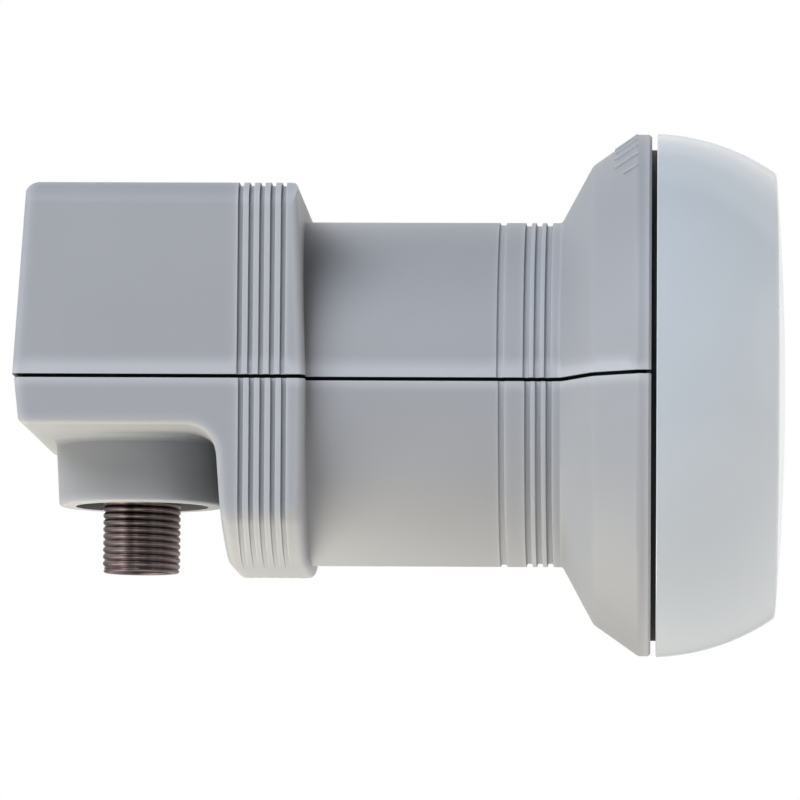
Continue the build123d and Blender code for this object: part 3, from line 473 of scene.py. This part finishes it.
# %% Threaded socket
PITCH = 0.79375 * MM
BARREL_COLUMNS = 144
ROWS_PER_TURN = 16
FADE = 0.5 * MM
RIDGE_TOP, RIDGE_SLOPE = 1.55, 3.5
body_low, body_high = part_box("connector_body")
mouth, top = body_low[2], body_high[2]
bore = 3.3 * MM
flange_top, flange_low, flange_radius = -8.4 * MM, -9.8 * MM, 6.0 * MM
thread_top, thread_low = flange_low - 0.35 * MM, mouth + 0.3 * MM
thread_rows = int(ROWS_PER_TURN * (thread_top - thread_low) / PITCH)
thread_height = np.linspace(thread_top, thread_low, thread_rows)
outer = [(CREST_RADIUS, top), (CREST_RADIUS, flange_top + 0.001 * MM), (flange_radius - 0.1 * MM, flange_top),
         (flange_radius, flange_top - 0.1 * MM), (flange_radius, flange_low + 0.1 * MM),
         (flange_radius - 0.1 * MM, flange_low), (ROOT_RADIUS + 0.1 * MM, flange_low - 0.001 * MM),
         (ROOT_RADIUS, flange_low - 0.1 * MM)]
lip = [(ROOT_RADIUS + 0.15 * MM, mouth + 0.18 * MM), (ROOT_RADIUS, mouth + 0.05 * MM),
       (ROOT_RADIUS - 0.08 * MM, mouth), (bore + 0.25 * MM, mouth),
       (bore + 0.05 * MM, mouth + 0.08 * MM), (bore, mouth + 0.2 * MM), (bore, top)]
thread_span = [(ROOT_RADIUS, z) for z in thread_height]
profile = np.array(outer + thread_span + lip)
turns = np.arange(BARREL_COLUMNS) / BARREL_COLUMNS
phase = (profile[:, 1:2] / PITCH + turns[None, :]) % 1.0
ridge = np.clip(RIDGE_TOP - np.abs(phase - 0.5) * RIDGE_SLOPE, 0.0, 1.0)
ends = np.clip((thread_top - profile[:, 1]) / FADE, 0, 1) * np.clip((profile[:, 1] - thread_low) / FADE, 0, 1)
on_thread = np.zeros(len(profile))
on_thread[len(outer):len(outer) + thread_rows] = 1.0
lift = (CREST_RADIUS - ROOT_RADIUS) * ridge * (ends * on_thread)[:, None]
points, faces = turned_surface(profile[:, 0:1] + lift, profile[:, 1], turns[None, :])
points[:, 0] += SOCKET_X
barrel = put_in_mesh("socket_barrel", points, faces[:, ::-1].tolist())
barrel.data.materials.append(nickel)
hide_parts("connector_body")
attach(barrel, "root")
print("thread turns", round((thread_top - thread_low) / PITCH, 1), "faces", len(faces))

# %% [markdown]
# The cap is a shallow hollow drum: a low domed face, a narrow round edge, a convex side, and a skirt that
# plugs into the housing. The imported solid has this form, but its triangles crowd together in the middle
# of the face, where a gloss shows the slightest fault. So the drum is made again from the same sizes: one
# profile of arcs, from the pole of the face round the skirt to the pole inside, is carried round the feed
# axis. Each pole is one point with a fan of triangles.


# %% Arcs of a profile
def circle_through(first, middle, last):
    """Centre and radius of a circle through three points: equal distances give two linear equations."""
    first, middle, last = np.array(first), np.array(middle), np.array(last)
    across = 2 * np.stack([middle - first, last - first])
    centre = np.linalg.solve(across, [middle @ middle - first @ first, last @ last - first @ first])
    return centre, np.linalg.norm(centre - first)


def circles_meet(centre, radius, other_centre, other_radius):
    """The upper meeting point: along the line of centres by the cosine rule, then square to that line."""
    apart = other_centre - centre
    distance = np.linalg.norm(apart)
    along = (distance**2 + radius**2 - other_radius**2) / (2 * distance)
    aside = np.sqrt(radius**2 - along**2) * np.array([-apart[1], apart[0]]) / distance
    meeting = centre + apart * along / distance + np.stack([aside, -aside])
    return meeting[np.argmax(meeting[:, 1])]


def arc(centre, radius, start, end, count):
    """Points on a circle, at equal angles from the bearing of start to the bearing of end."""
    first, last = np.array(start) - centre, np.array(end) - centre
    angle = np.linspace(np.arctan2(first[1], first[0]), np.arctan2(last[1], last[0]), count)
    return centre + radius * np.stack([np.cos(angle), np.sin(angle)], axis=-1)


def turned_between_poles(profile, columns):
    """Carry a profile round the x axis, where it starts and ends: y = radius cos(angle), z = radius sin(angle)."""
    rings = profile[1:-1]
    angle = np.arange(columns) / columns * 2 * np.pi
    along = np.broadcast_to(rings[:, 0:1], (len(rings), columns))
    radius = rings[:, 1:2]
    grid = np.stack([along, radius * np.cos(angle), radius * np.sin(angle)], axis=-1).reshape(-1, 3)
    points = np.concatenate([grid, [(profile[0, 0], 0, 0), (profile[-1, 0], 0, 0)]])
    row, column = np.meshgrid(np.arange(len(rings) - 1) * columns, np.arange(columns), indexing="ij")
    after = (column + 1) % columns
    quads = np.stack([row + column, row + columns + column, row + columns + after, row + after], axis=-1)
    edge, edge_after, last_row = column[0], after[0], (len(rings) - 1) * columns
    first_fan = np.stack([np.full(columns, len(grid)), edge, edge_after], axis=-1)
    last_fan = np.stack([last_row + edge, np.full(columns, len(grid) + 1), last_row + edge_after], axis=-1)
    return points, quads.reshape(-1, 4).tolist() + first_fan.tolist() + last_fan.tolist()


print("profile functions ready")

# %% Cap drum
DOME, SIDE_LENGTH, SIDE_INSET, SIDE_BULGE = 1.1 * MM, 13.8 * MM, 4.6 * MM, 1.1 * MM
EDGE_ROUND, CAP_WALL, SKIRT_WALL = 0.8 * MM, 1.6 * MM, 1.2 * MM
SEAL_WIDTH, BACK_BREAK = 0.35 * MM, 0.12 * MM
CAP_COLUMNS = 240
SHARP_ANGLE = radians(35)
(skirt_back, _, _), (face_front, cap_radius, _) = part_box("feed_cap")
skirt_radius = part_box("cap_seal")[1][1] - SEAL_WIDTH
face_edge, cap_back = face_front - DOME, face_front - DOME - SIDE_LENGTH
face_radius, side_height = cap_radius - SIDE_INSET, cap_radius - SIDE_INSET / 2 + SIDE_BULGE
side_centre, side_bend = circle_through(
    (cap_back, cap_radius), (cap_back + SIDE_LENGTH / 2, side_height), (face_edge, face_radius)
)
dome_centre, dome_bend = circle_through((face_edge, face_radius), (face_front, 0), (face_edge, -face_radius))
edge_centre = circles_meet(dome_centre, dome_bend - EDGE_ROUND, side_centre, side_bend - EDGE_ROUND)
dome_end = edge_centre + EDGE_ROUND * (edge_centre - dome_centre) / (dome_bend - EDGE_ROUND)
side_end = edge_centre + EDGE_ROUND * (edge_centre - side_centre) / (side_bend - EDGE_ROUND)
inner_corner = circles_meet(dome_centre, dome_bend - CAP_WALL, side_centre, side_bend - CAP_WALL)


def side_point(x, bend):
    """The point of the side's circle at a station x: the root of radius squared less the offset squared."""
    return x, side_centre[1] + np.sqrt(bend**2 - (x - side_centre[0]) ** 2)


back_corner = side_point(cap_back + BACK_BREAK, side_bend)
inner_back = side_point(cap_back + CAP_WALL, side_bend - CAP_WALL)
skirt_bore = skirt_radius - SKIRT_WALL
skirt_corners = [(cap_back, cap_radius - BACK_BREAK), (cap_back, skirt_radius), (skirt_back, skirt_radius),
                 (skirt_back, skirt_bore), (cap_back + CAP_WALL, skirt_bore)]
cap_profile = np.concatenate([
    arc(dome_centre, dome_bend, (face_front, 0), dome_end, 22),
    arc(edge_centre, EDGE_ROUND, dome_end, side_end, 10)[1:],
    arc(side_centre, side_bend, side_end, back_corner, 24)[1:],
    skirt_corners,
    arc(side_centre, side_bend - CAP_WALL, inner_back, inner_corner, 16),
    arc(dome_centre, dome_bend - CAP_WALL, inner_corner, (face_front - CAP_WALL, 0), 16)[1:],
])
cap_points, cap_faces = turned_between_poles(cap_profile, CAP_COLUMNS)
drum = put_in_mesh("cap_drum", cap_points, cap_faces)
drum.data.set_sharp_from_angle(angle=SHARP_ANGLE)
drum.data.materials.append(cap)
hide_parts("feed_cap")
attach(drum, "root")
print("cap side radius", round(side_bend / MM, 2), "mm, faces", len(cap_faces))

# %% [markdown]
# The light is that of a soft studio. A wide key from the left, from in front and above, does most of it,
# a fill from the right reaches the cap, and a weak rim light comes from behind. Two warm lamps from below
# stand for what a pale table throws back. Small hard lamps would draw stripes on the cap, so all five are
# area lamps. The camera does not see them, and the gloss of the cap does not show the two on its side.


# %% Soft light
def softbox(name, place, aim, width, height, power, colour):
    """A rectangular area lamp at place that faces aim; power is in watts."""
    lamp = bpy.data.lights.new(name, "AREA")
    lamp.shape = "RECTANGLE"
    lamp.size, lamp.size_y = width, height
    lamp.energy = power
    lamp.color = colour
    box = bpy.data.objects.new(name, lamp)
    box.location = place
    box.rotation_euler = (Vector(aim) - Vector(place)).to_track_quat("-Z", "Y").to_euler()
    box.visible_camera = False
    scene.collection.objects.link(box)
    return box


print("softbox ready")

# %% [markdown]
# In front of the object and over it the studio is dim, and only the sheet behind it is white. A room that
# is white all round would wash out every gloss. One curved panel, a wall that bends over into a ceiling,
# takes that light away. On the glossy cap its foot draws the line between room and table, and its far
# edge the soft line near the top. It is stage, and the camera does not see it.


# %% Dim panel
def swept_wall(profile_y, profile_z, half_width, columns):
    """Carry an open profile sideways: x runs from -half_width to half_width, y and z are the profile's."""
    across = np.linspace(-half_width, half_width, columns)
    points = np.stack(np.broadcast_arrays(across[None, :], profile_y[:, None], profile_z[:, None]), axis=-1)
    corner = (np.arange(len(profile_y) - 1)[:, None] * columns + np.arange(columns - 1)[None, :]).reshape(-1)
    faces = np.stack([corner, corner + 1, corner + columns + 1, corner + columns], axis=-1)
    return points.reshape(-1, 3), faces.tolist()


PANEL_FRONT, PANEL_FOOT, PANEL_END = -1.05, -0.319, 0.24
PANEL_TURN, PANEL_BEND = 0.45, 0.7
PANEL_HALF_WIDTH, PANEL_COLUMNS = 1.6, 3
bend = np.linspace(0, np.pi / 2, 24)
panel_y = np.concatenate([[PANEL_FRONT], PANEL_FRONT + PANEL_BEND * (1 - np.cos(bend)), [PANEL_END]])
panel_z = np.concatenate([[PANEL_FOOT], PANEL_TURN + PANEL_BEND * np.sin(bend), [PANEL_TURN + PANEL_BEND]])
panel = put_in_mesh("dim_panel", *swept_wall(panel_y, panel_z, PANEL_HALF_WIDTH, PANEL_COLUMNS))
panel.data.materials.append(
    finish("panel_paint", grain_group, (0.20, 0.215, 0.235), 30.0, 0.8, 0.9, 0.02 * MM, drift=0.02)[0]
)
panel.visible_camera = False
print("panel faces", len(panel.data.polygons))

# %% Lamps
middle = (0, 0, 0)
key = softbox("key", (-0.48, -0.66, 0.56), middle, 0.8, 0.6, 9.1, (0.95, 0.96, 1.0))
fill = softbox("fill", (0.95, 0.20, 0.10), middle, 0.9, 0.7, 6.4, (1.0, 0.93, 0.86))
rim = softbox("rim", (0.0, 0.75, 0.60), middle, 1.2, 0.5, 0.7, (1.0, 0.88, 0.84))
table_right = softbox("table_right", (0.147, -0.085, -0.117), middle, 0.22, 0.22, 0.122, (1.0, 0.84, 0.72))
table_left = softbox("table_left", (-0.073, 0.004, -0.10), (-0.060, 0.0, 0), 0.12, 0.10, 0.122, (1.0, 0.90, 0.70))
for lamp in (fill, table_right):
    lamp.visible_glossy = False
print("lamps", [lamp.name for lamp in (key, fill, rim, table_right, table_left)])

# %% [markdown]
# The room is plain white where the camera, a reflection or a clear surface sees it, and dim and a little
# warm where it lights the object, so that the greys render about as they are written.


# %% White room
def seen_mask(tree):
    """One where a ray comes from the camera, a reflection or a clear surface, and nought where it is light."""
    ray = add_node(tree, "ShaderNodeLightPath")
    direct = add_node(
        tree, "ShaderNodeMath", None,
        {0: ray.outputs["Is Camera Ray"], 1: ray.outputs["Is Glossy Ray"]}, operation="MAXIMUM",
    )
    seen = add_node(
        tree, "ShaderNodeMath", None,
        {0: direct.outputs[0], 1: ray.outputs["Is Transmission Ray"]}, operation="MAXIMUM",
    )
    return seen.outputs[0]


ROOM_LIGHT = 0.06
ROOM_TINT = (1.0, 0.85, 0.70, 1)
world = bpy.data.worlds.new("white_room")
world.use_nodes = True
room = world.node_tree
backdrop = room.nodes["Background"]
seen_room = seen_mask(room)
strength = add_node(room, "ShaderNodeMapRange", {"To Min": ROOM_LIGHT, "To Max": 1.0}, {"Value": seen_room})
tint = add_node(room, "ShaderNodeMix", None, {"Factor": seen_room}, data_type="RGBA")
tint.inputs["A"].default_value = ROOM_TINT
tint.inputs["B"].default_value = (1, 1, 1, 1)
room.links.new(tint.outputs["Result"], backdrop.inputs["Color"])
room.links.new(strength.outputs["Result"], backdrop.inputs["Strength"])
scene.world = world
print("room light", ROOM_LIGHT)

# %% [markdown]
# A plain pale floor lies well below, because the real thing is held up by its neck. It throws a little
# warm light back and takes the soft shadow. A floor would hide the object from a camera below it, so its
# underside is clear: Backfacing mixes the paint with a Transparent shader. Where it is seen it also glows a
# little, by the same mask as the room, so it looks pale without more light on the object. It is stage.

# %% Floor
FLOOR_HEIGHT = -0.32
FLOOR_HALF = 3.0
FLOOR_GLOW = 0.3
floor_corners = np.array([(-1, -1, 0), (1, -1, 0), (1, 1, 0), (-1, 1, 0)]) * FLOOR_HALF + (0, 0, FLOOR_HEIGHT)
floor = put_in_mesh("floor", floor_corners, [[0, 1, 2, 3]], smooth=False)
floor_paint, _, _, floor_shader = finish(
    "floor_paint", grain_group, (0.84, 0.83, 0.81), 40.0, 0.65, 0.75, 0.02 * MM, drift=0.01
)
floor_tree = floor_paint.node_tree
from_below = add_node(floor_tree, "ShaderNodeNewGeometry").outputs["Backfacing"]
clear = add_node(floor_tree, "ShaderNodeBsdfTransparent").outputs["BSDF"]
one_sided = add_node(
    floor_tree, "ShaderNodeMixShader", None, {0: from_below, 1: floor_shader.outputs["BSDF"], 2: clear}
)
floor_tree.links.new(one_sided.outputs["Shader"], floor_tree.nodes["Material Output"].inputs["Surface"])
glow = add_node(floor_tree, "ShaderNodeMath", {1: FLOOR_GLOW}, {0: seen_mask(floor_tree)}, operation="MULTIPLY")
floor_tree.links.new(glow.outputs[0], floor_shader.inputs["Emission Strength"])
floor_shader.inputs["Emission Color"].default_value = (1, 0.99, 0.97, 1)
floor.data.materials.append(floor_paint)
print("floor at", FLOOR_HEIGHT)
